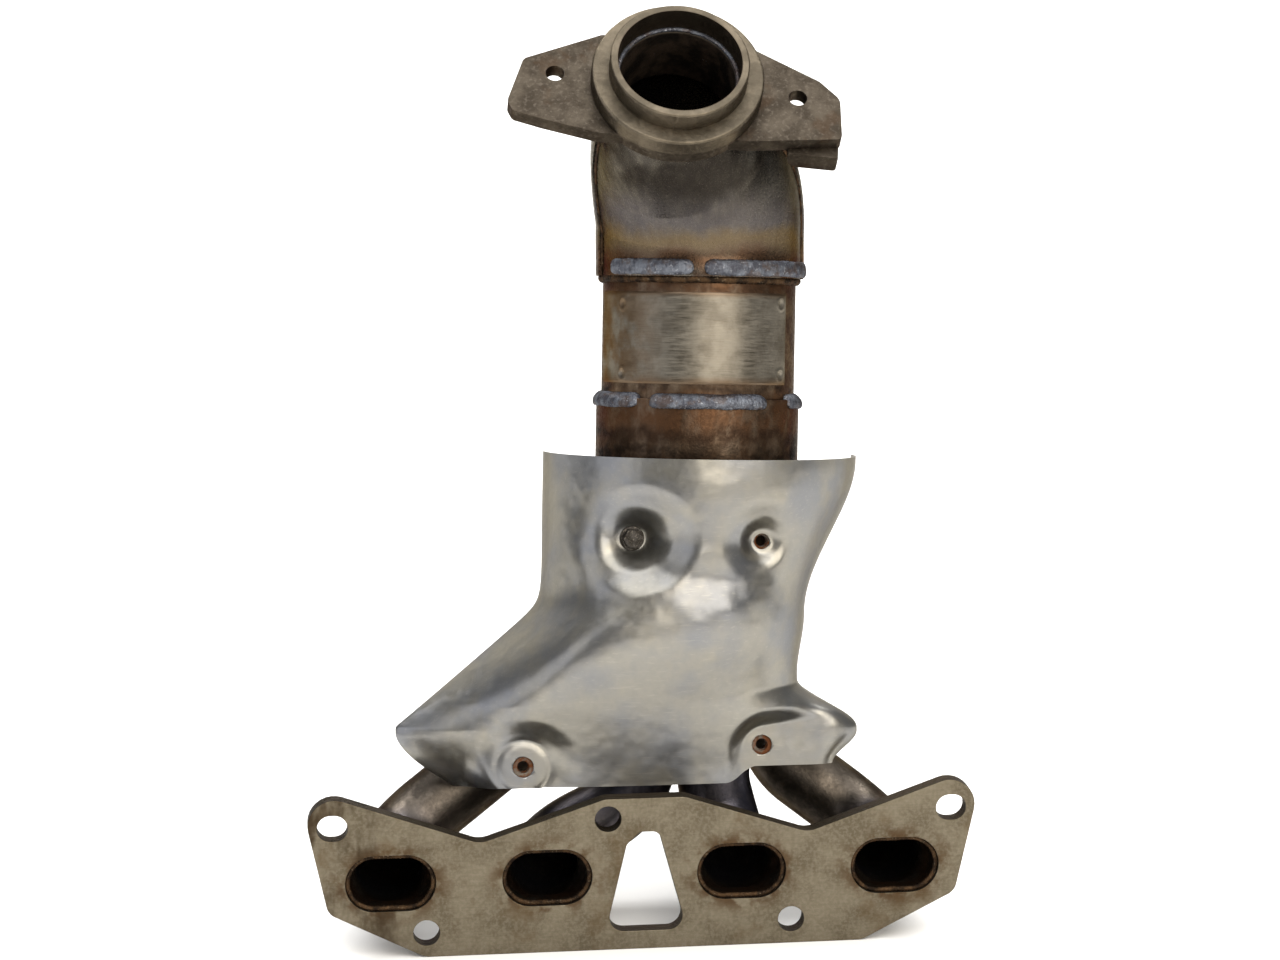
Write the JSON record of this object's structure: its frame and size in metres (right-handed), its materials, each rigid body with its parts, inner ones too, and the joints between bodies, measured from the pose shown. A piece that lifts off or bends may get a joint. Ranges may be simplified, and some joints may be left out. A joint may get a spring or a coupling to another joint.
{
  "type": "exhaust manifold",
  "caption": "Tubular exhaust manifold for an inline engine: flat head flange, bent runners, collector, close-coupled catalytic converter, pressed heat shield and eared outlet flange.",
  "frame": {"origin": "midway between the two upper corner stud slots, on the gasket face of the head flange", "axes": "+X along the head flange, +Y away from the cylinder head, +Z towards the outlet flange"},
  "size_m": [0.3798, 0.1905, 0.5286],
  "materials": {
    "plate_steel": "milled steel plate with light heat stain",
    "tube_steel": "dark heat-tinted stainless tube",
    "can_steel": "brown heat-tinted stainless sheet",
    "elbow_steel": "satin pressed stainless sheet with heat tint",
    "shield_sheet": "satin aluminised sheet",
    "weld_metal": "blue-grey rippled weld bead",
    "ceramic": "matt cordierite",
    "mat_fibre": "matt fibre mat",
    "fastener": "black oxide with some rust"
  },
  "bodies": {
    "root": {"head_flange": "plate_steel", "runner_1": "tube_steel", "runner_2": "tube_steel", "runner_3": "tube_steel", "runner_4": "tube_steel", "port_weld_1": "weld_metal", "port_weld_2": "weld_metal", "port_weld_3": "weld_metal", "port_weld_4": "weld_metal", "runner_weld_1": "weld_metal", "runner_weld_2": "weld_metal", "runner_weld_3": "weld_metal", "runner_weld_4": "weld_metal", "collector": "can_steel", "collector_weld": "weld_metal", "inlet_sleeve": "can_steel", "inlet_sleeve_weld": "weld_metal", "converter_shell": "can_steel", "support_mat": "mat_fibre", "monolith": "ceramic", "mat_seal_inlet": "tube_steel", "mat_seal_outlet": "tube_steel", "data_plate": "shield_sheet", "inlet_bead_left": "weld_metal", "inlet_bead_front": "weld_metal", "inlet_bead_right": "weld_metal", "inlet_bead_rear": "weld_metal", "elbow_front": "elbow_steel", "elbow_rear": "elbow_steel", "elbow_root_weld": "weld_metal", "outlet_bead_left": "weld_metal", "outlet_bead_right": "weld_metal", "outlet_bead_rear_right": "weld_metal", "outlet_bead_rear_left": "weld_metal", "elbow_seam_left": "weld_metal", "elbow_seam_right": "weld_metal", "outlet_neck": "tube_steel", "outlet_flange": "plate_steel", "outlet_neck_weld": "weld_metal", "outlet_back_weld": "weld_metal", "heat_shield": "shield_sheet", "shield_bolt": "fastener", "shield_bracket_1": "tube_steel", "shield_bracket_2": "tube_steel", "shield_bracket_3": "tube_steel", "shield_bracket_4": "tube_steel", "shield_nut_1": "fastener", "shield_nut_2": "fastener", "shield_nut_3": "fastener", "shield_nut_4": "fastener", "sensor_boss_upstream": "plate_steel", "sensor_boss_weld_upstream": "weld_metal", "sensor_boss_downstream": "plate_steel", "sensor_boss_weld_downstream": "weld_metal"}
  },
  "joints": []
}
